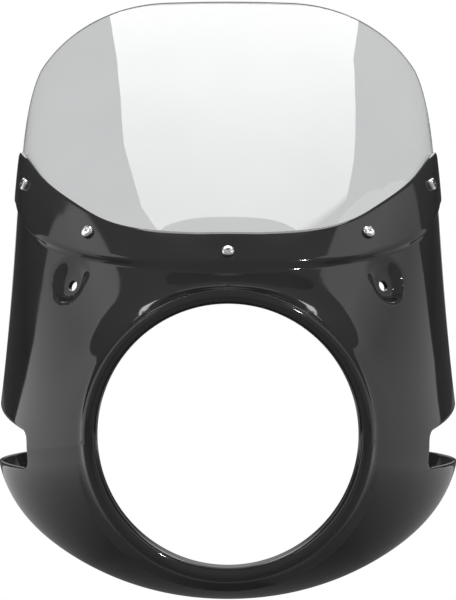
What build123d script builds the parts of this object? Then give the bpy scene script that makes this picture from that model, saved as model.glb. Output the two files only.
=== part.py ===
from build123d import *
import os
from math import hypot, sqrt

# Headlight cowl for a 7 inch motorbike headlamp, in millimetres.
# The origin is the centre of the headlight opening, the front faces -Y and +Z is up.

# Headlight opening and its rolled rim
opening_radius = 93.0
rim_width = 10.5
rim_flange_length = 12.0
rim_collar_length = 11.0
rim_sink = 1.0

# Main form of the moulding and the screen
wall = 3.6
half_width = 187.0
widest_depth = 165.0
form_depth = 262.0
chin_drop = 28.3
chin_depth = 88.0
waist_drop = 6.0
waist_depth = 100.0
brow_depth = 20.8
brow_slope = 1.33
brow_softness = 11.0
corner_depth = 170.0
corner_across = 1.17
corner_up = 0.88
side_lean = 0.136
lean_depth = 130.0
jaw_depth = 130.0
jaw_across = 0.91
jaw_up = 0.30

# Screen band along the top of the moulding, as seen from the side
band_step = 3.2
band_lap = 5.0
crease_front = (25.0, 117.0)
crease_middle = (77.0, 133.5)
crease_rear = (165.0, 183.0)
band_front = (45.0, 142.6)
band_middle = ((59.0, 148.1), (87.4, 167.8), (122.9, 193.8), (147.3, 210.5))
band_rear = (166.0, 219.0)

# Rear edges and the fork notch, as seen from the side
panel_corner_depth = 138.0
panel_corner_height = 12.0
panel_corner_radius = 6.0
notch_front = 57.0
notch_top = -3.0
notch_bottom = -30.0
notch_radius = 8.0
wing_depth = 230.0
wing_top = -35.0
wing_bottom = -62.0
wing_radius = 10.0
chin_edge_depth = 92.0

# Dimpled seats for the fork brackets
seat_across = 120.0
seat_height = 108.0
seat_depth = 6.0
seat_radius = 10.0
seat_draft = 22.0
seat_floor_bevel = 2.0
seat_hole_radius = 4.25
seat_facing = (0.60, -0.75, 0.27)

# Windscreen
screen_thickness = 3.0
screen_gap = 0.2
screen_lap_gap = 0.8
screen_half_width = 174.5
screen_height = 350.3
screen_corner_radius = 126.0
screen_crown = 12.0
screen_rear_foot = (158.0, 160.0)
screen_rear_top = (190.0, 303.0)

# Screen fasteners: one at the centre and two on each side, placed as seen from the side
screw_centre_height = 130.7
screw_places = ((68.8, 146.7), (134.0, 188.0))
screw_radius = 2.5
screw_head_radius = 4.75
screw_head_height = 3.2
screw_head_edge = 1.2
screw_dome_radius = 7.0
screw_seat_gap = 0.1
screw_tail = 1.6
recess_width = 1.1
recess_length = 5.0
recess_depth = 1.7
screw_hole_gap = 0.3
washer_radius = 5.0
washer_thickness = 1.2
washer_bore_gap = 0.2
washer_seat_gap = 0.3
nut_across_flats = 8.0
nut_height = 4.0
thread_gap = 0.1

circle_fullness = 0.5523
rim_radius = opening_radius + rim_width
rim_middle = opening_radius + rim_width / 2
form_radius = rim_radius - rim_sink
chin_height = form_radius + chin_drop
screen_inset = wall - band_step + screen_gap
screw_length = (wall + screen_gap + screen_thickness + screw_seat_gap + washer_seat_gap + washer_thickness
                + nut_height + screw_tail)


def half_width_at(depth):
    return half_width - (half_width - form_radius) * (1 - depth / widest_depth) ** 2


def chin_at(depth):
    return chin_height - chin_drop * (1 - min(depth / chin_depth, 1.0)) ** 2


def crown_at(depth):
    reach = depth - brow_depth
    start = (sqrt(brow_depth ** 2 + brow_softness ** 2) - brow_depth) / 2
    return form_radius + brow_slope * ((sqrt(reach ** 2 + brow_softness ** 2) + reach) / 2 - start)


def slant(profile, depth):
    return hypot(1.0, profile(depth + 0.5) - profile(depth - 0.5))


def form(inset):
    """The outer form of the cowl and the screen together, moved inward by the inset."""
    with BuildPart() as layer:
        for share in (0, 0.04, 0.085, 0.13, 0.19, 0.28, 0.40, 0.55, 0.72, 0.87, 1):
            depth = form_depth * share
            side = half_width_at(depth) - inset * slant(half_width_at, depth)
            top = crown_at(depth) - inset * slant(crown_at, depth)
            bottom = chin_at(depth) - inset * slant(chin_at, depth)
            waist = -waist_drop * min(depth / waist_depth, 1.0)
            across = circle_fullness + (corner_across - circle_fullness) * depth / corner_depth
            up = circle_fullness + (corner_up - circle_fullness) * depth / corner_depth
            jaw = min(depth / jaw_depth, 1.0)
            low = circle_fullness + (jaw_across - circle_fullness) * jaw
            rise = up * (top - waist)
            fall = (circle_fullness + (jaw_up - circle_fullness) * jaw) * (bottom + waist)
            lean = side_lean * (1 - (depth / lean_depth - 1) ** 2)
            with BuildSketch(Plane.XZ.offset(-depth)):
                with BuildLine():
                    Bezier((side, waist), (side - lean * rise, waist + rise), (across * side, top), (0, top))
                    Bezier((side, waist), (side + lean * fall, waist - fall), (low * side, -bottom),
                           (0, -bottom))
                    mirror(about=Plane.YZ)
                make_face()
        loft()
    return layer.part


def above_crease(lift):
    """Everything above the crease line, which is raised by the lift."""
    with BuildPart() as region:
        with BuildSketch(Plane.YZ.offset(-half_width - wall)):
            with BuildLine():
                front = (crease_front[0], crease_front[1] + lift)
                middle = (crease_middle[0], crease_middle[1] + lift)
                rear = (crease_rear[0], crease_rear[1] + lift)
                crease = ThreePointArc(front, middle, rear)
                tail = Line(crease @ 1, crease @ 1 + (crease % 1) * form_depth)
                Polyline(tail @ 1, (form_depth, 2 * screen_height), (-rim_width, 2 * screen_height),
                         (-rim_width, front[1]), front)
            make_face()
        extrude(amount=2 * (half_width + wall))
    return region.part


outer_form = form(0.0)
inner_form = form(wall)
band_form = form(-band_step)
screen_back_form = form(screen_inset + screen_thickness)

# Side outline of the whole moulding: band top, rear edge, fork notch, wing and chin edge
with BuildPart() as side_outline:
    with BuildSketch(Plane.YZ.offset(-half_width - wall)):
        with BuildLine():
            band_top = Spline(band_front, *band_middle, band_rear)
            rear_edge = FilletPolyline(
                band_rear,
                (panel_corner_depth, panel_corner_height),
                (notch_front, notch_top),
                (notch_front, notch_bottom),
                (wing_depth, wing_top),
                (wing_depth, wing_bottom),
                (chin_edge_depth, -chin_height),
                radius=(panel_corner_radius, notch_radius, notch_radius, wing_radius, wing_radius),
            )
            Polyline(rear_edge @ 1, (chin_edge_depth, -2 * chin_height), (-rim_width, -2 * chin_height),
                     (-rim_width, band_front[1]), band_front)
        make_face()
    extrude(amount=2 * (half_width + wall))

# Seats of the screws on the band and of the washers on the back of the screen
screw_rays = [Axis((0, -half_width, screw_centre_height), (0, 1, 0))]
for depth, height in screw_places:
    screw_rays.append(Axis((-2 * half_width, depth, height), (1, 0, 0)))
    screw_rays.append(Axis((2 * half_width, depth, height), (-1, 0, 0)))
screw_seats = []
washer_seats = []
for ray in screw_rays:
    point, normal = band_form.find_intersection_points(ray)[0]
    backs = screen_back_form.find_intersection_points(Axis(point, -normal))
    back = min((hit[0] for hit in backs), key=lambda place: (place - point).length)
    screw_seats.append(Plane(point + normal * screw_seat_gap, z_dir=normal))
    washer_seats.append(Plane(back - normal * washer_seat_gap, z_dir=-normal))
with BuildPart() as screw_bores:
    with Locations(*screw_seats):
        Cylinder(screw_radius + screw_hole_gap, 2 * screw_length)

# Raised band that the screen sits behind
with BuildPart() as band:
    add(band_form)
    add(form(wall - band_step), mode=Mode.SUBTRACT)
    add(side_outline.part, mode=Mode.INTERSECT)
    add(above_crease(0.0), mode=Mode.INTERSECT)

# Pocket and boss of the bracket seats, one on each side
seat_ray = Axis((seat_across, -half_width, seat_height), (0, 1, 0))
seat_point = outer_form.find_intersection_points(seat_ray)[0][0]
seat_direction = Vector(*seat_facing).normalized()
seat_plane = Plane(seat_point - seat_direction * seat_depth,
                   x_dir=seat_direction.cross(Vector(0, 0, 1)) * -1, z_dir=seat_direction)
with BuildPart() as seat_pocket:
    with BuildSketch(seat_plane):
        Circle(seat_radius)
    extrude(amount=6 * seat_depth, taper=-seat_draft)
    chamfer(seat_pocket.edges().group_by(Axis(seat_plane.origin, seat_direction))[0], seat_floor_bevel)
    mirror(about=Plane.YZ)
with BuildPart() as seat_boss:
    with BuildSketch(seat_plane.offset(-wall)):
        Circle(seat_radius + wall)
    extrude(amount=6 * seat_depth, taper=-seat_draft)
    mirror(about=Plane.YZ)
    add(outer_form, mode=Mode.INTERSECT)
with BuildPart() as seat_hole:
    with BuildSketch(seat_plane.offset(-2 * wall)):
        Circle(seat_hole_radius)
    extrude(amount=4 * wall)
    mirror(about=Plane.YZ)

# The moulding
with BuildPart() as cowl_shell:
    add(outer_form)
    with BuildSketch(Plane.XY):
        with Locations((rim_middle, 0)):
            Rectangle(rim_width, rim_collar_length, align=(Align.CENTER, Align.MIN))
    revolve(axis=Axis.Y)
    add(inner_form, mode=Mode.SUBTRACT)
    add(seat_boss.part)
    add(side_outline.part, mode=Mode.INTERSECT)
    add(above_crease(band_lap), mode=Mode.SUBTRACT)
    add(band.part)
    with BuildSketch(Plane.XY):
        with BuildLine():
            ThreePointArc((opening_radius, 0), (rim_middle, -rim_width / 2), (rim_radius, 0))
            Polyline((rim_radius, 0), (opening_radius + wall, 0), (opening_radius + wall, rim_flange_length),
                     (opening_radius, rim_flange_length), (opening_radius, 0))
        make_face()
    revolve(axis=Axis.Y)
    with BuildSketch(Plane.XY):
        with Locations((rim_middle, wall - rim_width / 2)):
            Rectangle(rim_width - 2 * wall, rim_width / 2 + rim_flange_length,
                      align=(Align.CENTER, Align.MIN))
    revolve(axis=Axis.Y, mode=Mode.SUBTRACT)
    add(seat_pocket.part, mode=Mode.SUBTRACT)
    add(seat_hole.part, mode=Mode.SUBTRACT)
    add(screw_bores.part, mode=Mode.SUBTRACT)

# Clear windscreen behind the band
with BuildPart() as windscreen:
    add(form(screen_inset))
    add(screen_back_form, mode=Mode.SUBTRACT)
    add(above_crease(band_lap + screen_lap_gap), mode=Mode.INTERSECT)
    with BuildSketch(Plane.XZ.offset(rim_width)):
        with BuildLine():
            top = ThreePointArc((-screen_half_width, screen_height - screen_crown), (0, screen_height),
                                (screen_half_width, screen_height - screen_crown))
            Polyline(top @ 1, (screen_half_width, 0), (-screen_half_width, 0), top @ 0)
        outline = make_face()
        fillet(outline.vertices().group_by(Axis.Y)[-1], screen_corner_radius)
    extrude(amount=-2 * form_depth, mode=Mode.INTERSECT)
    with BuildSketch(Plane.YZ):
        with BuildLine():
            Polyline(screen_rear_foot, screen_rear_top, (2 * form_depth, screen_rear_top[1]),
                     (2 * form_depth, screen_rear_foot[1]), close=True)
        make_face()
    extrude(amount=2 * half_width, both=True, mode=Mode.SUBTRACT)
    add(screw_bores.part, mode=Mode.SUBTRACT)

# One screw, washer and nut, each seated on the XY plane
with BuildPart() as screw:
    with BuildSketch(Plane.XZ):
        with BuildLine():
            Polyline((0, screw_head_height), (0, -screw_length), (screw_radius, -screw_length),
                     (screw_radius, 0), (screw_head_radius, 0), (screw_head_radius, screw_head_edge))
            RadiusArc((screw_head_radius, screw_head_edge), (0, screw_head_height), -screw_dome_radius)
        make_face()
    revolve(axis=Axis.Z)
    with Locations((0, 0, screw_head_height)):
        Box(recess_length, recess_width, 2 * recess_depth, mode=Mode.SUBTRACT)
        Box(recess_width, recess_length, 2 * recess_depth, mode=Mode.SUBTRACT)
with BuildPart() as washer:
    with BuildSketch():
        Circle(washer_radius)
        Circle(screw_radius + washer_bore_gap, mode=Mode.SUBTRACT)
    extrude(amount=washer_thickness)
with BuildPart() as nut:
    with BuildSketch():
        RegularPolygon(nut_across_flats / 2, 6, major_radius=False)
        Circle(screw_radius + thread_gap, mode=Mode.SUBTRACT)
    extrude(amount=nut_height)

with BuildPart() as screen_screws:
    with Locations(*screw_seats):
        add(screw.part)
with BuildPart() as screen_washers:
    with Locations(*washer_seats):
        add(washer.part)
with BuildPart() as screen_nuts:
    with Locations(*[seat.offset(washer_thickness) for seat in washer_seats]):
        add(nut.part)

os.makedirs("parts", exist_ok=True)
cowl_shell.part.label = "cowl_shell"
export_step(cowl_shell.part, "parts/cowl_shell.step")
windscreen.part.label = "windscreen"
export_step(windscreen.part, "parts/windscreen.step")
screen_screws.part.label = "screen_screws"
export_step(screen_screws.part, "parts/screen_screws.step")
screen_washers.part.label = "screen_washers"
export_step(screen_washers.part, "parts/screen_washers.step")
screen_nuts.part.label = "screen_nuts"
export_step(screen_nuts.part, "parts/screen_nuts.step")
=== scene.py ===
import math

import bpy
import numpy as np
from mathutils import Matrix, Vector


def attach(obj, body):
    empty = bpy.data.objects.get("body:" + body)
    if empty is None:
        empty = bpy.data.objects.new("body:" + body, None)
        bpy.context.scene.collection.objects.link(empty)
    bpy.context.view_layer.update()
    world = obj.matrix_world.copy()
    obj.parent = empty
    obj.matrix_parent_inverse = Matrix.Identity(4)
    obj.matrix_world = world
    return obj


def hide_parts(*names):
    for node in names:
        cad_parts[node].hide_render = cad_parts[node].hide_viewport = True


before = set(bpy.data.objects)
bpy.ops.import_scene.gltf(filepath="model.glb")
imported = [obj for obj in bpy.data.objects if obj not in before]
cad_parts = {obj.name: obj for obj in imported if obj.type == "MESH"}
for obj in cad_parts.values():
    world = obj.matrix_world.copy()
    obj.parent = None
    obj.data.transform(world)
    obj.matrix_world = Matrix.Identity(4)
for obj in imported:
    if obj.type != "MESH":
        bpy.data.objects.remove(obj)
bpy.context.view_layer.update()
print("frame loaded:", ", ".join(sorted(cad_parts)))

# the cowl's form in metres, the opening's centre is the origin and the front looks to -Y
form = {
    "openingRadius": 0.093, "rimWidth": 0.0105, "rimSink": 0.001, "wall": 0.0036,
    "halfWidth": 0.187, "widestDepth": 0.165, "depth": 0.262,
    "chinDrop": 0.0281, "chinDepth": 0.088, "waistDrop": 0.006, "waistDepth": 0.100,
    "browDepth": 0.0208, "browSlope": 1.33, "browSoftness": 0.011,
    "cornerDepth": 0.170, "cornerAcross": 1.17, "cornerUp": 0.88,
    "sideLean": 0.136, "leanDepth": 0.130, "jawDepth": 0.130, "jawAcross": 0.91, "jawUp": 0.30,
    "sections": (0, 0.04, 0.085, 0.13, 0.19, 0.28, 0.40, 0.55, 0.72, 0.87, 1),
    "circleFullness": 0.5523, "turnLimit": 0.9995,
    "normalSteps": (1e-3, 2e-4),  # small moves in turn and depth that a normal is worked out from
}
rimRadius = form["openingRadius"] + form["rimWidth"]
rimMiddle = form["openingRadius"] + form["rimWidth"] / 2
formRadius = rimRadius - form["rimSink"]
chinHeight = formRadius + form["chinDrop"]


def halfWidthAt(depth):
    return form["halfWidth"] - (form["halfWidth"] - formRadius) * (1 - depth / form["widestDepth"]) ** 2


def chinAt(depth):
    return chinHeight - form["chinDrop"] * (1 - min(depth / form["chinDepth"], 1.0)) ** 2


def crownAt(depth):
    soft = form["browSoftness"]
    reach = depth - form["browDepth"]
    start = (math.hypot(form["browDepth"], soft) - form["browDepth"]) / 2
    return formRadius + form["browSlope"] * ((math.hypot(reach, soft) + reach) / 2 - start)


# handles of the two arcs that make half a section, upper then lower
def sectionHandles(depth):
    side, top, bottom = halfWidthAt(depth), crownAt(depth), chinAt(depth)
    full = form["circleFullness"]
    waist = -form["waistDrop"] * min(depth / form["waistDepth"], 1.0)
    across = full + (form["cornerAcross"] - full) * depth / form["cornerDepth"]
    up = full + (form["cornerUp"] - full) * depth / form["cornerDepth"]
    jaw = min(depth / form["jawDepth"], 1.0)
    low = full + (form["jawAcross"] - full) * jaw
    rise = up * (top - waist)
    fall = (full + (form["jawUp"] - full) * jaw) * (bottom + waist)
    lean = form["sideLean"] * (1 - (depth / form["leanDepth"] - 1) ** 2)
    upper = ((side, waist), (side - lean * rise, waist + rise), (across * side, top), (0, top))
    lower = ((side, waist), (side + lean * fall, waist - fall), (low * side, -bottom), (0, -bottom))
    return upper, lower


# a natural cubic spline, so that reflections run smoothly from section to section
def splineThrough(places, values):
    count = len(places)
    gaps = np.diff(places)
    grid = np.zeros((count, count))
    pull = np.zeros_like(values)
    for end, near, gap in ((0, 1, gaps[0]), (count - 1, count - 2, -gaps[-1])):
        grid[end, end], grid[end, near] = 2, 1
        pull[end] = 3 * (values[near] - values[end]) / gap
    for i in range(1, count - 1):
        before, after = gaps[i - 1], gaps[i]
        grid[i, i - 1:i + 2] = after, 2 * (before + after), before
        fromBefore = after * (values[i] - values[i - 1]) / before
        fromAfter = before * (values[i + 1] - values[i]) / after
        pull[i] = 3 * (fromBefore + fromAfter)
    slopes = np.linalg.solve(grid, pull.reshape(count, -1)).reshape(values.shape)

    def at(place):
        i = np.clip(np.searchsorted(places, place) - 1, 0, count - 2)
        shape = place.shape + (1,) * (values.ndim - 1)
        gap = gaps[i].reshape(shape)
        t = ((place - places[i]) / gaps[i]).reshape(shape)
        start = (2 * t ** 3 - 3 * t ** 2 + 1) * values[i] + (t ** 3 - 2 * t ** 2 + t) * gap * slopes[i]
        return start + (3 * t ** 2 - 2 * t ** 3) * values[i + 1] + (t ** 3 - t ** 2) * gap * slopes[i + 1]

    return at


stations = form["depth"] * np.array(form["sections"])
handlesAt = splineThrough(stations, np.array([sectionHandles(depth) for depth in stations]))


# turn runs from -1 at the chin over 0 at the side to 1 at the crown
def formPoint(turn, depth):
    turn, depth = np.broadcast_arrays(np.asarray(turn, float), np.asarray(depth, float))
    handles = handlesAt(depth)
    upper = (turn >= 0)[..., None, None]
    handles = np.where(upper, handles[..., 0, :, :], handles[..., 1, :, :])
    t = np.abs(turn)[..., None]
    flat = ((1 - t) ** 3 * handles[..., 0, :] + 3 * t * (1 - t) ** 2 * handles[..., 1, :]
            + 3 * t ** 2 * (1 - t) * handles[..., 2, :] + t ** 3 * handles[..., 3, :])
    return np.stack((flat[..., 0], depth, flat[..., 1]), -1)


def unit(vectors):
    return vectors / np.linalg.norm(vectors, axis=-1, keepdims=True)


def formNormal(turn, depth):
    aside, deeper = form["normalSteps"]
    alongTurn = formPoint(turn + aside, depth) - formPoint(turn - aside, depth)
    alongDepth = formPoint(turn, depth + deeper) - formPoint(turn, depth - deeper)
    return unit(np.cross(alongDepth, alongTurn))


def offsetPoint(turn, depth, offset):
    return formPoint(turn, depth) + formNormal(turn, depth) * np.asarray(offset)[..., None]


# the turn and depth of the form's points that lie on a line drawn in the side view
def onForm(sideLine, offset):
    target = sideLine.copy()
    for correction in range(6):
        low, high = np.full(len(target), -1.0), np.ones(len(target))
        for halving in range(34):
            middle = (low + high) / 2
            below = formPoint(middle, target[:, 0])[:, 2] < target[:, 1]
            low, high = np.where(below, middle, low), np.where(below, high, middle)
        depth = np.clip(target[:, 0], 0, form["depth"])
        target = target + (sideLine - offsetPoint(middle, depth, offset)[:, 1:])
    return middle, depth


def resample(points, along, spacing):
    count = max(2, int(along[-1] / spacing))
    places = np.linspace(0, along[-1], count)
    return np.stack([np.interp(places, along, column) for column in points.T], -1)


def lengthAlong(points):
    return np.concatenate(((0,), np.cumsum(np.linalg.norm(np.diff(points, axis=0), axis=1))))


def smooth(value):
    value = np.clip(value, 0, 1)
    return value * value * (3 - 2 * value)


def circleThrough(first, middle, last):
    a, b, c = (complex(*point) for point in (first, middle, last))
    w = (c - a) / (b - a)
    centre = (b - a) * (w - abs(w) ** 2) / (2j * w.imag) + a
    return np.array((centre.real, centre.imag)), abs(a - centre)


# side view line with its corners rounded, each by so many points
def roundedLine(corners, radii, count=12):
    line = [np.array(corners[0])]
    for before, corner, after, radius in zip(corners, corners[1:], corners[2:], radii):
        corner = np.array(corner)
        back, ahead = unit(np.array(before) - corner), unit(np.array(after) - corner)
        half = math.acos(back @ ahead) / 2
        centre = corner + unit(back + ahead) * radius / math.sin(half)
        start = corner + back * radius / math.tan(half) - centre
        end = corner + ahead * radius / math.tan(half) - centre
        spread = math.pi - 2 * half
        for t in np.linspace(0, 1, count):
            swung = math.sin((1 - t) * spread) * start + math.sin(t * spread) * end
            line.append(centre + swung / math.sin(spread))
    line.append(np.array(corners[-1]))
    return np.array(line)


def deselectAll():
    bpy.ops.object.select_all(action="DESELECT")


def activate(piece):
    deselectAll()
    piece.select_set(True)
    bpy.context.view_layer.objects.active = piece


def setPoints(piece, points):
    piece.data.vertices.foreach_set("co", np.ascontiguousarray(points, np.float32).ravel())
    piece.data.update()


def fixNormals(piece):
    activate(piece)
    bpy.ops.object.mode_set(mode="EDIT")
    bpy.ops.mesh.select_all(action="SELECT")
    bpy.ops.mesh.normals_make_consistent(inside=False)
    bpy.ops.object.mode_set(mode="OBJECT")


# a flat grid rolled up into the given points, its meeting edges merged
def rolledGrid(name, points):
    deselectAll()
    bpy.ops.mesh.primitive_grid_add(x_subdivisions=points.shape[1] - 1, y_subdivisions=points.shape[0] - 1)
    piece = bpy.context.object
    piece.name = name
    setPoints(piece, points.reshape(-1, 3))
    bpy.ops.object.mode_set(mode="EDIT")
    bpy.ops.mesh.select_all(action="SELECT")
    bpy.ops.mesh.remove_doubles(threshold=1e-6)
    bpy.ops.object.mode_set(mode="OBJECT")
    fixNormals(piece)
    return piece


def finishPiece(piece, node, material):
    piece.data.materials.clear()
    piece.data.materials.append(material)
    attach(piece, "root")
    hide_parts(node)


band = {
    "step": 0.0032, "lap": 0.005, "stepWidthSide": 0.0034, "stepWidthCentre": 0.010, "widensFrom": 0.5,
    "crease": ((0.025, 0.117), (0.077, 0.1335), (0.165, 0.183)),
    "top": ((0.166, 0.219), (0.1473, 0.2105), (0.1229, 0.1938),
            (0.0874, 0.1678), (0.059, 0.1481), (0.045, 0.1426)),
}
creaseCentre, creaseRadius = circleThrough(*band["crease"])


# height of the band's lower edge in the side view, level in front of it and straight behind it
def creaseHeight(depth):
    (frontDepth, _), _, (rearDepth, rearHeight) = band["crease"]
    inside = np.clip(depth, frontDepth, rearDepth)
    arc = creaseCentre[1] - np.sqrt(creaseRadius ** 2 - (inside - creaseCentre[0]) ** 2)
    tailSlope = (rearDepth - creaseCentre[0]) / (creaseCentre[1] - rearHeight)
    return arc + np.maximum(depth - rearDepth, 0) * tailSlope


# the moulding is one closed wall: a ring of columns from rim to trimmed edge, each a closed profile
shell = {
    "edgeLine": ((0.092, -chinHeight), (0.2295, -0.062), (0.2295, -0.035), (0.057, -0.030),
                 (0.057, -0.003), (0.138, 0.012)),
    "edgeRadii": (0.010, 0.010, 0.008, 0.008, 0.006, 0.0035),
    "rimTurns": ((-1, -1), (-0.375, -0.47), (-0.211, -0.38), (-0.157, -0.175), (0.001, 0.02),
                 (0.029, 0.15), (0.419, 0.42), (1, 1)),
    "bandTopPoints": 80, "lineSpacing": 0.0003, "columnSpacing": 0.0038,
    "seatTurn": 0.47, "seatReach": 0.12, "seatFade": 0.04,  # where the columns stand closer
    "outerRows": 48, "stepRows": 7, "bandRows": 12, "innerRows": 28, "innerBandRows": 6, "innerStepRows": 5,
    "edgeRadius": 0.0012, "edgeGap": 0.0026, "edgeShare": 0.25, "rowGap": 1e-4,
    # columns without the band keep its rows, at a share of their length that eases along the ring
    "plainShare": 0.93, "plainEase": 0.15, "easeColumns": 60, "plainStep": 0.002, "innerStepShare": 0.6,
    "grooveDepth": 0.0045, "grooveCorner": (0.0002, 0.0007), "flangeLength": 0.012, "flangeRound": 0.0008,
    "beadStart": 0.0006, "beadEnd": 24, "beadPoints": 13, "beadFullness": 0.996,
    "innerReach": 0.02, "innerOverlap": 0.0004, "sharpAngle": 38,
}
seat = {
    "point": (0.12, 0.0588, 0.108), "facing": (0.60, -0.75, 0.27), "depth": 0.006,
    "floorRadius": 0.0085, "wallRadius": 0.0165, "topFade": 0.010, "reach": 0.03,
    "holeRadius": 0.00425, "drillLength": 0.02,
}


def shellColumns():
    knots = np.array(band["top"])
    along = lengthAlong(knots)
    topLine = splineThrough(along, knots)(np.linspace(along[1], along[-1], shell["bandTopPoints"]))
    corners = (*shell["edgeLine"], *band["top"][:2])
    line = np.vstack((roundedLine(corners, shell["edgeRadii"]), topLine[1:]))
    line = resample(line, lengthAlong(line), shell["lineSpacing"])
    onBand = line[:, 1] > creaseHeight(line[:, 0])
    middle = np.where(onBand, band["step"], 0) - form["wall"] / 2
    turn, depth = onForm(line, middle)
    keep = np.abs(turn) < form["turnLimit"]
    turn, depth, middle = turn[keep], depth[keep], middle[keep]
    turn = np.concatenate(((-1,), turn, (1,)))
    depth = np.concatenate((depth[:1], depth, depth[-1:]))
    middle = np.concatenate((middle[:1], middle, middle[-1:]))
    turn = np.maximum.accumulate(turn)
    points = offsetPoint(turn, depth, middle)
    # twice as close together beside the bracket seat
    weight = 1 + smooth((shell["seatReach"] - np.abs(turn - shell["seatTurn"])) / shell["seatFade"])
    steps = np.linalg.norm(np.diff(points, axis=0), axis=1)
    along = np.concatenate(((0,), np.cumsum(steps * (weight[1:] + weight[:-1]) / 2)))
    columns = resample(np.stack((turn, depth, middle > 0), -1), along, shell["columnSpacing"])
    turn, depth, raised = columns[:, 0], columns[:, 1], columns[:, 2] > 0.5
    knots = np.array(shell["rimTurns"])
    rimTurn = np.interp(turn, knots[:, 0], knots[:, 1])
    return turn, depth, raised, rimTurn


def dimple(points, sunk):
    axis = unit(np.array(seat["facing"]))
    up = unit(np.array((0, 0, 1)) - axis * axis[2])
    offset = points - np.array(seat["point"])
    height = offset @ axis
    flat = offset - height[..., None] * axis
    away = np.linalg.norm(flat, axis=-1)
    rise = np.maximum(flat @ up, 0) / np.maximum(away, 1e-6)
    wallRadius = seat["wallRadius"] + seat["topFade"] * rise
    share = 1 - smooth((away - seat["floorRadius"]) / (wallRadius - seat["floorRadius"]))
    share = np.where(np.abs(height) < seat["reach"], share, 0)
    return points + axis * (share * np.minimum(-seat["depth"] - sunk - height, 0))[..., None]


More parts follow.
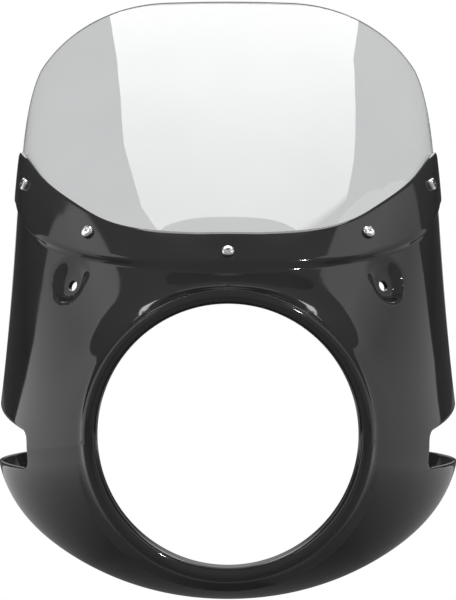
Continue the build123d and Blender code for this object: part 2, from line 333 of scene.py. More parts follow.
def buildShell():
    turn, depth, raised, rimTurn = shellColumns()
    count = len(turn)
    wall, start, rowGap, plainStep = form["wall"], shell["grooveDepth"], shell["rowGap"], shell["plainStep"]

    def columnPoint(depths, offset):
        share = depths / depth[:, None]
        turns = rimTurn[:, None] + (turn - rimTurn)[:, None] * share
        return offsetPoint(turns, depths, np.broadcast_to(offset, depths.shape))

    # where each column meets the band's lower edge, a share of its length where it meets none
    low, high = np.full(count, start), depth.copy()
    for halving in range(40):
        crease = (low + high) / 2
        share = crease / depth
        below = formPoint(rimTurn + (turn - rimTurn) * share, crease)[:, 2] < creaseHeight(crease)
        low, high = np.where(below, crease, low), np.where(below, high, crease)
    first = np.argmax(raised)
    easing = smooth((first - np.arange(count)) / shell["easeColumns"])
    plainShare = shell["plainShare"] - shell["plainEase"] * easing
    crease = np.where(raised, crease, start + (depth - start) * plainShare)

    # depth that a column needs to go a metre away from a line across it
    def acrossRate(at):
        nudge, least = 1e-4, 2e-5
        here = columnPoint(at[:, None], 0.0)[:, 0]
        ahead = columnPoint(at[:, None] + nudge, 0.0)[:, 0] - here
        line = unit(np.gradient(here, axis=0))
        across = ahead - line * np.sum(ahead * line, axis=1, keepdims=True)
        return nudge / np.maximum(np.linalg.norm(across, axis=1), least)

    edgeGap = np.minimum(shell["edgeGap"] * acrossRate(depth), shell["edgeShare"] * depth)
    last = depth - edgeGap
    # the step is sharp at the sides and soft in the middle
    widening = smooth((turn - band["widensFrom"]) / (1 - band["widensFrom"]))
    width = band["stepWidthSide"] + (band["stepWidthCentre"] - band["stepWidthSide"]) * widening
    halfStep = np.where(raised, 0.5 * width * acrossRate(crease), plainStep)
    crease = np.minimum(crease, last - 2 * rowGap)
    stepEnd = np.minimum(crease + halfStep, last - rowGap)
    stepStart = np.maximum(crease - halfStep, start + plainStep)
    lift = np.where(raised, band["step"], 0.0)[:, None]

    def spread(begin, end, share):
        return begin[:, None] + (end - begin)[:, None] * share[None, :]

    starts = np.full(count, start)
    outerDepths = spread(starts, stepStart, np.linspace(0, 1, shell["outerRows"], endpoint=False))
    stepShare = np.linspace(0, 1, shell["stepRows"])
    stepDepths = spread(stepStart, stepEnd, stepShare)
    bandDepths = spread(stepEnd, last, np.linspace(0, 1, shell["bandRows"] + 1)[1:])
    outer = dimple(columnPoint(outerDepths, 0.0), 0.0)
    step = columnPoint(stepDepths, lift * smooth(stepShare)[None, :])
    bandOuter = columnPoint(bandDepths, lift)

    # rounded edge, square to the trimmed line
    edgeMiddle = columnPoint(depth[:, None], lift - wall / 2)[:, 0]
    normal = formNormal(turn, depth)
    tangent = unit(np.gradient(edgeMiddle, axis=0))
    outward = unit(np.cross(tangent, normal))
    inner = columnPoint(last[:, None], lift - wall / 2)[:, 0]
    outward *= np.sign(np.sum(outward * (edgeMiddle - inner), axis=1, keepdims=True))
    radius, half = shell["edgeRadius"], wall / 2
    bends = np.linspace(0, math.pi / 2, 4)
    rounding = [(-radius + radius * math.sin(a), half - radius + radius * math.cos(a)) for a in bends]
    rounding += [(out, -up) for out, up in reversed(rounding)]
    edge = np.stack([edgeMiddle + outward * out + normal * up for out, up in rounding], 1)

    # inner side, back to the rim
    lap = np.where(raised, band["lap"] * acrossRate(crease), plainStep)
    lapDepth = np.minimum(crease + lap, last - 2 * rowGap)
    lapStart = np.maximum(lapDepth - halfStep * shell["innerStepShare"], start + 2 * plainStep)
    lapShare = np.linspace(1, 0, shell["innerStepRows"])
    bandShare = np.linspace(1, 0, shell["innerBandRows"], endpoint=False)
    innerBand = columnPoint(spread(lapDepth, last, bandShare), lift - wall)
    innerStep = columnPoint(spread(lapStart, lapDepth, lapShare), lift * smooth(lapShare)[None, :] - wall)
    low, high = np.full(count, 0.0), np.full(count, shell["innerReach"])
    for halving in range(30):
        innerEnd = (low + high) / 2
        place = columnPoint(innerEnd[:, None], -wall)[:, 0]
        inside = np.hypot(place[:, 0], place[:, 2]) < rimRadius - wall + shell["innerOverlap"]
        low, high = np.where(inside, innerEnd, low), np.where(inside, high, innerEnd)
    innerShare = np.linspace(1, 0, shell["innerRows"] + 1)[1:]
    innerRows = dimple(columnPoint(spread(innerEnd, lapStart, innerShare), -wall), wall)

    # rolled rim with its groove, return flange and hollow back
    rimPoint = formPoint(rimTurn, 0.0)
    outwards = unit(rimPoint * np.array((1, 0, 1)))

    def ringPoint(radius, depths):
        point = outwards * radius
        point[:, 1] = depths
        return point

    opening, bead = form["openingRadius"], form["rimWidth"] / 2
    flange, soft = shell["flangeLength"], shell["flangeRound"]
    rim = [ringPoint(opening + soft, flange)]
    rim += [ringPoint(opening, depths) for depths in (flange - soft, flange / 2, shell["beadStart"])]
    for angle in np.linspace(math.pi, math.radians(shell["beadEnd"]), shell["beadPoints"]):
        front = -shell["beadFullness"] * bead * math.sin(angle)
        rim.append(ringPoint(rimMiddle + bead * math.cos(angle), front))
    beadFoot = rim[-1]
    grooveInset, grooveBack = shell["grooveCorner"]
    groove = ringPoint(rimRadius - grooveInset, grooveBack)
    for t in (0.2, 0.4, 0.6, 0.8):
        rim.append((1 - t) ** 2 * beadFoot + 2 * t * (1 - t) * groove + t ** 2 * outer[:, 0])
    hollowOut, hollowIn, hollowFront = rimRadius - wall, opening + wall, wall - bead
    back = [ringPoint(hollowOut, np.minimum(innerEnd - soft, flange / 2)),
            ringPoint(hollowOut, hollowFront + soft),
            ringPoint(hollowOut - soft, hollowFront),
            ringPoint(hollowIn + soft, hollowFront),
            ringPoint(hollowIn, hollowFront + soft),
            ringPoint(hollowIn, flange / 2),
            ringPoint(hollowIn, flange - soft),
            ringPoint(hollowIn - soft, flange)]
    profile = np.concatenate((np.stack(rim, 1), outer, step, bandOuter, edge,
                              innerBand, innerStep, innerRows, np.stack(back, 1)), axis=1)
    mirrored = profile[-2:0:-1] * np.array((-1, 1, 1))
    ring = np.concatenate((profile, mirrored, profile[:1]))
    return rolledGrid("cowlMoulding", np.concatenate((ring, ring[:, :1]), axis=1))


# a tool cuts a piece and is then removed
def cutWith(piece, tool):
    activate(piece)
    cut = piece.modifiers.new("cut", "BOOLEAN")
    cut.operation = "DIFFERENCE"
    cut.object = tool
    bpy.ops.object.modifier_apply(modifier=cut.name)
    bpy.data.objects.remove(tool, do_unlink=True)


# moves to a place and turns the Z axis along the one given
def placedAlong(place, axis):
    return Matrix.Translation(place) @ Vector(axis).to_track_quat("Z", "Y").to_matrix().to_4x4()


def drill(piece, place, axis, radius, length, sides=40):
    deselectAll()
    bpy.ops.mesh.primitive_cylinder_add(vertices=sides, radius=radius, depth=length)
    tool = bpy.context.object
    tool.matrix_world = placedAlong(place, axis)
    cutWith(piece, tool)


def shadeByAngle(piece, degrees):
    activate(piece)
    bpy.ops.object.shade_smooth_by_angle(angle=math.radians(degrees))


shellPiece = buildShell()
for hand in (1, -1):
    axis = unit(np.array(seat["facing"])) * np.array((hand, 1, 1))
    seatFloor = np.array(seat["point"]) * np.array((hand, 1, 1)) - axis * seat["depth"]
    drill(shellPiece, seatFloor, axis, seat["holeRadius"], seat["drillLength"])
shadeByAngle(shellPiece, shell["sharpAngle"])
print("moulding:", len(shellPiece.data.polygons), "faces")

# clear sheet behind the band, one half worked out as a patch and mirrored
screen = {
    "inset": 0.0006, "thickness": 0.003, "lap": 0.0058, "halfWidth": 0.1745, "height": 0.3503,
    "cornerRadius": 0.126, "crown": 0.012, "rearEdge": ((0.158, 0.160), (0.190, 0.303)),
    "columns": 70, "rows": 76, "crownPoints": 24, "cornerPoints": 90, "rearPoints": 60, "topDepth": 0.2,
    "footStart": 0.03, "footPoints": 900, "footReach": 0.01,
    "edgeBevel": 0.0007, "edgeSegments": 2, "edgeAngle": 50, "sharpAngle": 30,
}


# depth of the sheet's rear edge at a height, straight in the side view
def rearEdge(height):
    (footDepth, footHeight), (topDepth, topHeight) = screen["rearEdge"]
    return footDepth + (height - footHeight) * (topDepth - footDepth) / (topHeight - footHeight)


# the top edge, from the middle to where it meets the rear edge, drawn in the front view
def screenTop():
    halfWidth, height, corner = screen["halfWidth"], screen["height"], screen["cornerRadius"]
    radius = (halfWidth ** 2 + screen["crown"] ** 2) / (2 * screen["crown"])
    centre = height - radius
    cornerX = halfWidth - corner
    cornerZ = centre + math.sqrt((radius - corner) ** 2 - cornerX ** 2)
    meet = math.atan2(cornerX, cornerZ - centre)
    angles = np.linspace(0, meet, screen["crownPoints"])
    crown = np.stack((radius * np.sin(angles), centre + radius * np.cos(angles)), -1)
    angles = np.linspace(meet, math.pi / 2, screen["cornerPoints"])[1:]
    bend = np.stack((cornerX + corner * np.sin(angles), cornerZ + corner * np.cos(angles)), -1)
    turn, depth, found = 1.0, screen["topDepth"], []
    aside, deeper = -1e-4, 1e-5
    for target in np.vstack((crown, bend)):
        for correction in range(8):
            here = offsetPoint(turn, depth, -screen["inset"])[[0, 2]]
            byTurn = (offsetPoint(turn + aside, depth, -screen["inset"])[[0, 2]] - here) / aside
            byDepth = (offsetPoint(turn, depth + deeper, -screen["inset"])[[0, 2]] - here) / deeper
            change = np.linalg.solve(np.stack((byTurn, byDepth), -1), target - here)
            turn, depth = turn + float(change[0]), depth + float(change[1])
        found.append((turn, depth))
        _, edgeDepth, edgeHeight = offsetPoint(turn, depth, -screen["inset"])
        if edgeHeight < screen["rearEdge"][1][1] and edgeDepth > rearEdge(edgeHeight):
            break
    return np.array(found)


def screenFoot():
    depths = np.linspace(screen["footStart"], form["depth"], screen["footPoints"])
    heights = creaseHeight(depths) + screen["lap"]
    inFront = depths < rearEdge(heights)
    line = np.stack((depths, heights), -1)[inFront]
    turn, depth = onForm(line, -screen["inset"])
    keep = (turn < form["turnLimit"]) & (np.abs(depth - line[:, 0]) < screen["footReach"])
    turn, depth = turn[keep], depth[keep]
    return np.stack((np.concatenate(((1,), turn)), np.concatenate((depth[:1], depth))), -1)


def screenRear(foot, top):
    low, high = (offsetPoint(*end, -screen["inset"])[2] for end in (foot, top))
    heights = np.linspace(low, high, screen["rearPoints"])
    turn, depth = onForm(np.stack((rearEdge(heights), heights), -1), -screen["inset"])
    curve = np.stack((turn, depth), -1)
    curve[0], curve[-1] = foot, top
    return curve


def evenly(curve, count):
    along = lengthAlong(formPoint(curve[:, 0], curve[:, 1]))
    places = np.linspace(0, along[-1], count)
    return np.stack([np.interp(places, along, column) for column in curve.T], -1)


def buildScreen():
    foot = evenly(screenFoot(), screen["columns"] + 1)
    top = evenly(screenTop(), screen["columns"] + 1)
    s = np.linspace(0, 1, screen["columns"] + 1)[:, None, None]
    t = np.linspace(0, 1, screen["rows"] + 1)[None, :, None]
    middle = foot[0] + t * (top[0] - foot[0])
    rear = evenly(screenRear(foot[-1], top[-1]), screen["rows"] + 1)[None]
    corners = (1 - t) * ((1 - s) * foot[0] + s * foot[-1]) + t * ((1 - s) * top[0] + s * top[-1])
    patch = (1 - t) * foot[:, None] + t * top[:, None] + (1 - s) * middle + s * rear - corners
    half = offsetPoint(patch[..., 0], patch[..., 1], np.full(patch.shape[:2], -screen["inset"]))
    half[0, :, 0] = 0
    piece = rolledGrid("windscreenSheet", np.concatenate((half[:0:-1] * np.array((-1, 1, 1)), half)))
    activate(piece)
    if piece.data.polygons[len(piece.data.polygons) // 2].normal.y > 0:
        bpy.ops.object.mode_set(mode="EDIT")
        bpy.ops.mesh.flip_normals()
        bpy.ops.object.mode_set(mode="OBJECT")
    sheet = piece.modifiers.new("sheet", "SOLIDIFY")
    sheet.thickness, sheet.offset = screen["thickness"], -1
    bpy.ops.object.modifier_apply(modifier=sheet.name)
    edge = piece.modifiers.new("edge", "BEVEL")
    edge.width, edge.segments = screen["edgeBevel"], screen["edgeSegments"]
    edge.angle_limit = math.radians(screen["edgeAngle"])
    bpy.ops.object.modifier_apply(modifier=edge.name)
    return piece


# screw seats on the band, each a place and the way that the head faces
fastener = {
    "centreHeight": 0.1307, "places": ((0.0688, 0.1467), (0.134, 0.188)), "seatGap": 0.0001,
    "crownDepths": (0.02, 0.08), "crownPoints": 4000,  # where the centre seat is looked for
    "shankRadius": 0.0025, "holeGap": 0.0003, "drillLength": 0.03,
}


def screwSeats():
    count = fastener["crownPoints"]
    depths = np.linspace(*fastener["crownDepths"], count)
    crown = offsetPoint(np.ones(count), depths, np.full(count, band["step"]))
    turn, depth = onForm(np.array(fastener["places"]), np.full(2, band["step"]))
    turn = np.append(turn, 1.0)
    depth = np.append(depth, np.interp(fastener["centreHeight"], crown[:, 2], depths))
    normal = formNormal(turn, depth)
    place = offsetPoint(turn, depth, np.full(3, band["step"] + fastener["seatGap"]))
    flip = np.array((-1, 1, 1))
    pairs = [(place[i] * hand, normal[i] * hand) for i in (0, 1) for hand in (1, flip)]
    return [(place[2], normal[2])] + pairs


seats = screwSeats()
screenPiece = buildScreen()
holeRadius = fastener["shankRadius"] + fastener["holeGap"]
for place, axis in seats:
    drill(screenPiece, place, axis, holeRadius, fastener["drillLength"])
    drill(shellPiece, place, axis, holeRadius, fastener["drillLength"])
shadeByAngle(shellPiece, shell["sharpAngle"])
shadeByAngle(screenPiece, screen["sharpAngle"])
print("windscreen:", len(screenPiece.data.polygons), "faces")


def addCylinder(name, radius, bottom, top, sides=40):
    deselectAll()
    bpy.ops.mesh.primitive_cylinder_add(vertices=sides, radius=radius, depth=top - bottom,
                                        location=(0, 0, (top + bottom) / 2))
    bpy.ops.object.transform_apply(location=True)
    piece = bpy.context.object
    piece.name = name
    return piece


def bevelEdges(piece, width, segments, choose):
    activate(piece)
    for edge in piece.data.edges:
        ends = [piece.data.vertices[i].co for i in edge.vertices]
        edge.select = bool(choose(*ends))
    for item in (*piece.data.vertices, *piece.data.polygons):
        item.select = False
    bpy.ops.object.mode_set(mode="EDIT")
    bpy.ops.mesh.select_mode(type="EDGE")
    bpy.ops.mesh.bevel(offset=width, segments=segments, profile=0.5)
    bpy.ops.object.mode_set(mode="OBJECT")


def joined(first, *others):
    activate(first)
    for piece in others:
        piece.select_set(True)
    bpy.ops.object.join()
    return first


screw = {
    "headRadius": 0.00475, "headHeight": 0.0032, "headRound": 0.0019, "headSides": 48, "headSegments": 7,
    "recessLength": 0.005, "recessWidth": 0.0011, "recessDepth": 0.0017, "recessTaper": 0.55,
    "length": 0.014, "shankSides": 32, "threadPitch": 0.0008, "threadTurns": 16, "threadRoot": 0.82,
    "neckBottom": -0.0002, "neckTop": 0.0005,  # from the thread's end and from the head's foot
    "turns": (20, 60, 35, 10, 75), "sharpAngle": 40,
}


def buildScrew():
    top = screw["headHeight"]
    head = addCylinder("screenScrews", screw["headRadius"], 0, top, screw["headSides"])
    bevelEdges(head, screw["headRound"], screw["headSegments"], lambda a, b: min(a.z, b.z) > top - 1e-6)
    for quarter in (0, 1):
        deselectAll()
        bpy.ops.mesh.primitive_cube_add(size=1, location=(0, 0, top))
        slot = bpy.context.object
        slot.scale = (screw["recessLength"], screw["recessWidth"], 2 * screw["recessDepth"])
        slot.rotation_euler.z = quarter * math.pi / 2
        bpy.ops.object.transform_apply(location=True, rotation=True, scale=True)
        for vertex in slot.data.vertices:
            if vertex.co.z < top:
                vertex.co.x *= screw["recessTaper"]
                vertex.co.y *= screw["recessTaper"]
        cutWith(head, slot)
    # thread: one ridge, repeated down the shank
    radius, root = fastener["shankRadius"], fastener["shankRadius"] * screw["threadRoot"]
    pitch, sides, tip = screw["threadPitch"], screw["shankSides"], -screw["length"]
    deselectAll()
    bpy.ops.mesh.primitive_cone_add(vertices=sides, radius1=root, radius2=radius, depth=pitch / 2,
                                    end_fill_type="NOTHING", location=(0, 0, tip + pitch / 4))
    ridge = bpy.context.object
    bpy.ops.mesh.primitive_cone_add(vertices=sides, radius1=radius, radius2=root, depth=pitch / 2,
                                    end_fill_type="NOTHING", location=(0, 0, tip + 3 * pitch / 4))
    ridge = joined(ridge, bpy.context.object)
    bpy.ops.object.transform_apply(location=True, rotation=True, scale=True)
    row = ridge.modifiers.new("row", "ARRAY")
    row.use_relative_offset, row.use_constant_offset = False, True
    row.constant_offset_displace = (0, 0, pitch)
    row.count, row.use_merge_vertices, row.merge_threshold = screw["threadTurns"], True, 1e-5
    bpy.ops.object.modifier_apply(modifier=row.name)
    bpy.ops.object.mode_set(mode="EDIT")
    bpy.ops.mesh.select_all(action="SELECT")
    bpy.ops.mesh.remove_doubles(threshold=1e-6)
    bpy.ops.mesh.select_all(action="DESELECT")
    bpy.ops.mesh.select_mode(type="EDGE")
    bpy.ops.mesh.select_non_manifold()
    bpy.ops.mesh.fill_holes(sides=0)
    bpy.ops.object.mode_set(mode="OBJECT")
    threadEnd = tip + pitch * screw["threadTurns"]
    neck = addCylinder("neck", radius, threadEnd + screw["neckBottom"], screw["neckTop"], sides)
    return joined(head, ridge, neck)


washer = {
    "radius": 0.005, "thickness": 0.0012, "top": -0.0072, "bevel": 0.0003, "bevelSegments": 2,
    "boreGap": 0.0002, "drillLength": 0.01, "turns": (0, 0, 0, 0, 0), "sharpAngle": 40,
}


def buildWasher():
    top = washer["top"]
    disc = addCylinder("screenWashers", washer["radius"], top - washer["thickness"], top)
    bevelEdges(disc, washer["bevel"], washer["bevelSegments"], lambda a, b: abs(a.z - b.z) < 1e-6)
    drill(disc, (0, 0, top), (0, 0, 1), fastener["shankRadius"] + washer["boreGap"], washer["drillLength"])
    return disc


nut = {
    "across": 0.008, "height": 0.004, "ballShare": 1.13, "ballSegments": 48, "ballRings": 32,
    "boreGap": 0.00005, "drillLength": 0.02, "turns": (12, 40, 3, 27, 51), "sharpAngle": 25,
}


def buildNut():
    top = washer["top"] - washer["thickness"]
    bottom = top - nut["height"]
    corner = nut["across"] / math.sqrt(3)
    block = addCylinder("screenNuts", corner, bottom, top, 6)
    # the corners at both ends are rounded off by a ball a little wider than the nut
    deselectAll()
    bpy.ops.mesh.primitive_uv_sphere_add(segments=nut["ballSegments"], ring_count=nut["ballRings"],
                                         radius=corner * nut["ballShare"],
                                         location=(0, 0, (top + bottom) / 2))
    ball = bpy.context.object
    activate(block)
    turned = block.modifiers.new("turned", "BOOLEAN")
    turned.operation, turned.object = "INTERSECT", ball
    bpy.ops.object.modifier_apply(modifier=turned.name)
    bpy.data.objects.remove(ball, do_unlink=True)
    drill(block, (0, 0, top), (0, 0, 1), fastener["shankRadius"] + nut["boreGap"], nut["drillLength"])
    return block


# the same piece at every seat, joined into one
def atSeats(piece, degrees, turns):
    fixNormals(piece)
    copies = []
    for (place, axis), turn in zip(seats, turns):
        activate(piece)
        bpy.ops.object.duplicate()
        copy = bpy.context.object
        copy.matrix_world = placedAlong(place, axis) @ Matrix.Rotation(math.radians(turn), 4, "Z")
        bpy.ops.object.transform_apply(location=True, rotation=True, scale=True)
        copies.append(copy)
    name = piece.name
    bpy.data.objects.remove(piece, do_unlink=True)
    whole = joined(*copies)
    whole.name = name
    shadeByAngle(whole, degrees)
    return whole


screwPiece = atSeats(buildScrew(), screw["sharpAngle"], screw["turns"])
washerPiece = atSeats(buildWasher(), washer["sharpAngle"], washer["turns"])
nutPiece = atSeats(buildNut(), nut["sharpAngle"], nut["turns"])
fastenerFaces = [len(piece.data.polygons) for piece in (screwPiece, washerPiece, nutPiece)]
print("fasteners:", *fastenerFaces, "faces")

finish = {
    "shellBlack": (0.016, 0.016, 0.017), "shellWorn": (0.022, 0.022, 0.023), "shellRough": (0.04, 0.09),
    # the screen's grey is painted shade: the clear sheet is darkened to the grey that the dim room gives it
    "screenShadeGrey": (0.58, 0.585, 0.59), "screenShadeGreyDeep": (0.55, 0.555, 0.56), "screenRough": (0.012, 0.03),
    "chrome": (0.78, 0.78, 0.80), "chromeDull": (0.66, 0.66, 0.68), "chromeRough": (0.06, 0.14),
    "nylon": (0.80, 0.79, 0.74), "nylonShade": (0.72, 0.71, 0.65), "nylonRough": (0.45, 0.6),
    "zinc": (0.60, 0.60, 0.62), "zincShade": (0.47, 0.47, 0.50), "zincRough": (0.25, 0.42),
    "cloudDetail": 4, "colourEdges": (0.35, 0.68), "roughEdges": (0.3, 0.7), "grainDetail": 2,
}


# ends of one side, From or To, of a map range node
def setRange(node, side, ends):
    node.inputs[side + " Min"].default_value, node.inputs[side + " Max"].default_value = ends


# colour and roughness drift over the surface with a soft cloud, and a fine grain lifts it
def surface(name, colours, rough, cloudScale, grainScale, grainHeight, **sockets):
    material = bpy.data.materials.new(name)
    material.use_nodes = True
    nodes, links = material.node_tree.nodes, material.node_tree.links
    shader = nodes["Principled BSDF"]
    place = nodes.new("ShaderNodeTexCoord")
    cloud = nodes.new("ShaderNodeTexNoise")
    cloud.inputs["Scale"].default_value = cloudScale
    cloud.inputs["Detail"].default_value = finish["cloudDetail"]
    links.new(place.outputs["Object"], cloud.inputs["Vector"])
    paint = nodes.new("ShaderNodeValToRGB")
    for stop, edge, colour in zip(paint.color_ramp.elements, finish["colourEdges"], colours):
        stop.position = edge
        stop.color = (*colour, 1)
    links.new(cloud.outputs["Fac"], paint.inputs["Fac"])
    links.new(paint.outputs["Color"], shader.inputs["Base Color"])
    polish = nodes.new("ShaderNodeMapRange")
    setRange(polish, "From", finish["roughEdges"])
    setRange(polish, "To", rough)
    links.new(cloud.outputs["Fac"], polish.inputs["Value"])
    links.new(polish.outputs["Result"], shader.inputs["Roughness"])
    grain = nodes.new("ShaderNodeTexNoise")
    grain.inputs["Scale"].default_value = grainScale
    grain.inputs["Detail"].default_value = finish["grainDetail"]
    links.new(place.outputs["Object"], grain.inputs["Vector"])
    bump = nodes.new("ShaderNodeBump")
    bump.inputs["Strength"].default_value = 1
    bump.inputs["Distance"].default_value = grainHeight
    links.new(grain.outputs["Fac"], bump.inputs["Height"])
    links.new(bump.outputs["Normal"], shader.inputs["Normal"])
    for socket, value in sockets.items():
        shader.inputs[socket].default_value = value
    return material


glossBlack = surface("glossBlackPlastic", (finish["shellBlack"], finish["shellWorn"]), finish["shellRough"],
                     cloudScale=14, grainScale=320, grainHeight=0.000004, IOR=1.5)
# clear acrylic whose grey colour is painted shade
clearSheet = surface("clearAcrylic", (finish["screenShadeGrey"], finish["screenShadeGreyDeep"]),
                     finish["screenRough"], cloudScale=9, grainScale=60, grainHeight=0.000002,
                     IOR=1.49, **{"Transmission Weight": 1.0})
chrome = surface("chromePlate", (finish["chrome"], finish["chromeDull"]), finish["chromeRough"],
                 cloudScale=260, grainScale=900, grainHeight=0.000004, Metallic=1.0)
nylon = surface("nylonWhite", (finish["nylon"], finish["nylonShade"]), finish["nylonRough"],
                cloudScale=240, grainScale=900, grainHeight=0.00001)
zinc = surface("zincPlate", (finish["zinc"], finish["zincShade"]), finish["zincRough"],
               cloudScale=300, grainScale=1200, grainHeight=0.000008, Metallic=1.0)

finishPiece(shellPiece, "cowl_shell", glossBlack)
finishPiece(screenPiece, "windscreen", clearSheet)
finishPiece(screwPiece, "screen_screws", chrome)
finishPiece(washerPiece, "screen_washers", nylon)
finishPiece(nutPiece, "screen_nuts", zinc)
print("finishes set")

studio = {
    "floorHeight": -0.1312, "floorHalfSize": 4, "paperColour": (0.50, 0.50, 0.50),
    # the room is dim low at the rear, brighter overhead and in front
    "roomGlow": (0.06, 0.45), "roomTurn": (-0.5, 1.0),
    "backdropDepth": 1.5, "backdropHalfWidth": 0.62, "backdropTop": 2.2,
    "backdropRise": (0.04, 0.20), "backdropGlow": (0.06, 0.62),
    "leftPanel": ((0.75, -0.02), (0.60, 0.08), (0.46, 0.20), (0.31, 0.38), (0.15, 0.62), (0.01, 0.86),
                  (-0.11, 1.15), (-0.30, 1.45), (-0.70, 1.45), (-0.42, 0.75), (-0.42, -0.60),
                  (0.75, -0.60)),
    "rightPanel": ((0.72, 0.10), (0.40, 0.41), (0.22, 0.68), (0.06, 0.90), (-0.07, 1.12), (-0.38, 1.90),
                   (-0.75, 1.90), (-0.42, 0.75), (-0.42, -0.60), (0.72, -0.60)),
    "panelAcross": 0.9, "panelRise": (0.50, 1.00),
    "leftPanelGlow": (1.15, 1.75), "rightPanelGlow": (0.72, 1.45),
    # the boards over the floor glow dim near the object and bright further out: a painted shadow of the
    # object on the floor and painted light where the side lamps fall; the rear board is painted shade all
    # over
    "boardDepths": (0.04, 0.62), "boardLift": 0.0004, "boardShadowFade": (0.12, 0.50),
    "leftBoardGlow": (0.12, 1.0), "rightBoardGlow": (0.12, 0.72),
    "rearBoardGlow": (0.12, 0.12), "rearBoardEnd": 1.4,
    "screenPanel": ((0.284, -0.058), (0.293, -0.025), (0.268, 0.021), (0.212, 0.087), (0.182, 0.13),
                    (0.17, 0.20), (-0.148, 0.20), (-0.153, 0.13), (-0.164, 0.087), (-0.187, 0.035),
                    (-0.19, -0.03)),
    "screenPanelFront": -0.029, "screenPanelBow": 0.82, "screenPanelReach": 0.165, "screenPanelPoints": 21,
    "screenPanelHeight": 0.6, "screenPanelRise": (-0.03, 0.17), "screenPanelGlow": (5.0, 8.6),
    # a grid holds its light to what is near it
    "screenPanelThrow": (0.475, 0.487), "screenPanelSpill": 0.25,
    "keyLamp": {"place": (0.62, -0.80, 0.98), "aim": (0.05, 0.03, 0.12), "size": (0.045, 0.045),
                "watts": 2.5},
    "rearLamp": {"place": (0.55, 1.0, 0.9), "aim": (0, 0.1, 0.1), "size": (0.5, 0.5), "watts": 3.0},
    "cameraPlace": (0, -1.0, 0.0957), "cameraLens": 85.1, "cameraSensor": 36,
}


def areaLight(name, place, aim, size, watts):
    deselectAll()
    bpy.ops.object.light_add(type="AREA", location=place)
    lamp = bpy.context.object
    lamp.name = name
    lamp.rotation_euler = (Vector(aim) - Vector(place)).to_track_quat("-Z", "Y").to_euler()
    lamp.data.shape = "RECTANGLE"
    lamp.data.size, lamp.data.size_y = size
    lamp.data.energy = watts


# 1 for rays straight from the camera or through the glass, 0 for all others
def seenDirectly(nodes, links):
    ray = nodes.new("ShaderNodeLightPath")
    either = nodes.new("ShaderNodeMath")
    either.operation = "MAXIMUM"
    links.new(ray.outputs["Is Camera Ray"], either.inputs[0])
    links.new(ray.outputs["Is Transmission Ray"], either.inputs[1])
    return either.outputs["Value"]


# white where it is seen directly, plain matte paper to all other rays
def whitePaper(name):
    paper = bpy.data.materials.new(name)
    paper.use_nodes = True
    nodes, links = paper.node_tree.nodes, paper.node_tree.links
    nodes.remove(nodes["Principled BSDF"])
    matte = nodes.new("ShaderNodeBsdfDiffuse")
    matte.inputs["Color"].default_value = (*studio["paperColour"], 1)
    glow = nodes.new("ShaderNodeEmission")
    glow.inputs["Color"].default_value = (1, 1, 1, 1)
    mix = nodes.new("ShaderNodeMixShader")
    links.new(seenDirectly(nodes, links), mix.inputs["Fac"])
    links.new(matte.outputs["BSDF"], mix.inputs[1])
    links.new(glow.outputs["Emission"], mix.inputs[2])
    links.new(mix.outputs["Shader"], nodes["Material Output"].inputs["Surface"])
    return paper


# softbox cloth, its glow runs evenly from one level to the other between two places on an axis
def cloth(name, glows, axis, places, throw=None, spill=0.0):
    material = bpy.data.materials.new(name)
    material.use_nodes = True
    nodes, links = material.node_tree.nodes, material.node_tree.links
    nodes.remove(nodes["Principled BSDF"])
    glow = nodes.new("ShaderNodeEmission")
    place = nodes.new("ShaderNodeTexCoord")
    split = nodes.new("ShaderNodeSeparateXYZ")
    level = nodes.new("ShaderNodeMapRange")
    setRange(level, "From", places)
    setRange(level, "To", glows)
    links.new(place.outputs["Object"], split.inputs["Vector"])
    links.new(split.outputs[axis], level.inputs["Value"])
    strength = level
    if throw:
        ray, strength = nodes.new("ShaderNodeLightPath"), nodes.new("ShaderNodeMapRange")
        setRange(strength, "From", throw)
        strength.inputs["To Max"].default_value = spill
        links.new(ray.outputs["Ray Length"], strength.inputs["Value"])
        links.new(level.outputs["Result"], strength.inputs["To Min"])
    links.new(strength.outputs["Result"], glow.inputs["Strength"])
    links.new(glow.outputs["Emission"], nodes["Material Output"].inputs["Surface"])
    return material


def panel(name, points, material):
    deselectAll()
    bpy.ops.mesh.primitive_circle_add(vertices=len(points), fill_type="NGON")
    piece = bpy.context.object
    piece.name = name
    setPoints(piece, np.array(points))
    piece.data.materials.append(material)
    return piece


# softboxes and glowing boards show in the gloss but not in the picture; the boards' glow is painted light
# and shadow of the floor
def softLight(name, points, material):
    box = panel(name, points, material)
    box.visible_camera = box.visible_transmission = box.visible_shadow = False
    return box


ground, half = studio["floorHeight"], studio["floorHalfSize"]
floorCorners = ((-half, -half), (half, -half), (half, half), (-half, half))
panel("studioFloor", [(x, y, ground) for x, y in floorCorners], whitePaper("floorPaper"))

half, ceiling = studio["backdropHalfWidth"], studio["backdropTop"]
backdropCorners = ((-half, ground), (half, ground), (half, ceiling), (-half, ceiling))
backdropCloth = cloth("backdropCloth", studio["backdropGlow"], "Z", studio["backdropRise"])
softLight("studioBackdrop", [(x, studio["backdropDepth"], z) for x, z in backdropCorners], backdropCloth)

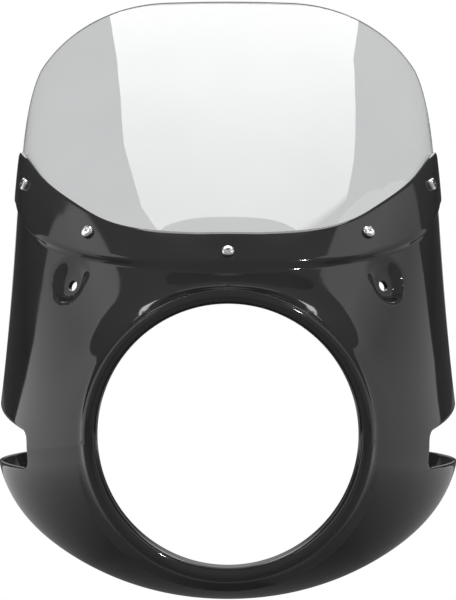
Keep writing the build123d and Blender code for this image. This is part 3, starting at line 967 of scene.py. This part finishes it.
# boards that glow in place of the floor in the gloss: painted shadow near the object, painted light further
# to the sides, painted shade behind
across, boardHeight = studio["panelAcross"], ground + studio["boardLift"]
(boardFront, boardRear), rearEnd = studio["boardDepths"], studio["rearBoardEnd"]
boardCorners = ((0, boardFront), (across, boardFront), (across, boardRear), (0, boardRear))
for hand, sign in (("left", -1), ("right", 1)):
    panelName, boardName = hand + "Panel", hand + "Board"
    panelCloth = cloth(panelName + "Cloth", studio[panelName + "Glow"], "Z", studio["panelRise"])
    softLight(panelName, [(sign * across, y, z) for y, z in studio[panelName]], panelCloth)
    boardShadowFade = [sign * x for x in studio["boardShadowFade"]]
    boardCloth = cloth(boardName + "Cloth", studio[boardName + "Glow"], "X", boardShadowFade)
    softLight(boardName, [(sign * x, y, boardHeight) for x, y in boardCorners], boardCloth)
rearCorners = ((-across, boardRear), (across, boardRear), (across, rearEnd), (-across, rearEnd))
rearCloth = cloth("rearBoardCloth", studio["rearBoardGlow"], "X", (-across, across))
softLight("rearBoard", [(x, y, boardHeight) for x, y in rearCorners], rearCloth)

# panel over the screen, its front edge bowed
screenCloth = cloth("screenPanelCloth", studio["screenPanelGlow"], "Y", studio["screenPanelRise"],
                    studio["screenPanelThrow"], studio["screenPanelSpill"])
screenCloth.cycles.emission_sampling = "NONE"
reach = studio["screenPanelReach"]
frontPlaces = np.linspace(-reach, reach, studio["screenPanelPoints"])
frontEdge = [(x, studio["screenPanelFront"] - studio["screenPanelBow"] * x * x) for x in frontPlaces]
screenCorners = [(x, y, studio["screenPanelHeight"]) for x, y in (*studio["screenPanel"], *frontEdge)]
screenBox = softLight("screenPanel", screenCorners, screenCloth)
screenBox.visible_diffuse = False

world = bpy.data.worlds.new("studioRoom")
bpy.context.scene.world = world
world.use_nodes = True
nodes, links = world.node_tree.nodes, world.node_tree.links
direction = nodes.new("ShaderNodeTexCoord")
split = nodes.new("ShaderNodeSeparateXYZ")
links.new(direction.outputs["Generated"], split.inputs["Vector"])
upAndFront = nodes.new("ShaderNodeMath")
upAndFront.operation = "SUBTRACT"
links.new(split.outputs["Z"], upAndFront.inputs[0])
links.new(split.outputs["Y"], upAndFront.inputs[1])
room = nodes.new("ShaderNodeMapRange")
setRange(room, "From", studio["roomTurn"])
setRange(room, "To", studio["roomGlow"])
links.new(upAndFront.outputs["Value"], room.inputs["Value"])
strength = nodes.new("ShaderNodeMapRange")
strength.inputs["To Max"].default_value = 1.0
links.new(room.outputs["Result"], strength.inputs["To Min"])
links.new(seenDirectly(nodes, links), strength.inputs["Value"])
nodes["Background"].inputs["Color"].default_value = (1, 1, 1, 1)
links.new(strength.outputs["Result"], nodes["Background"].inputs["Strength"])

areaLight("keyLamp", **studio["keyLamp"])
areaLight("rearLampRight", **studio["rearLamp"])
rearPlace = studio["rearLamp"]["place"]
areaLight("rearLampLeft", **dict(studio["rearLamp"], place=(-rearPlace[0], *rearPlace[1:])))

bpy.ops.object.camera_add(location=studio["cameraPlace"], rotation=(math.pi / 2, 0, 0))
camera = bpy.context.object
camera.data.lens, camera.data.sensor_width = studio["cameraLens"], studio["cameraSensor"]
bpy.context.scene.camera = camera
bpy.context.scene.view_settings.view_transform = "Standard"
print("studio set")
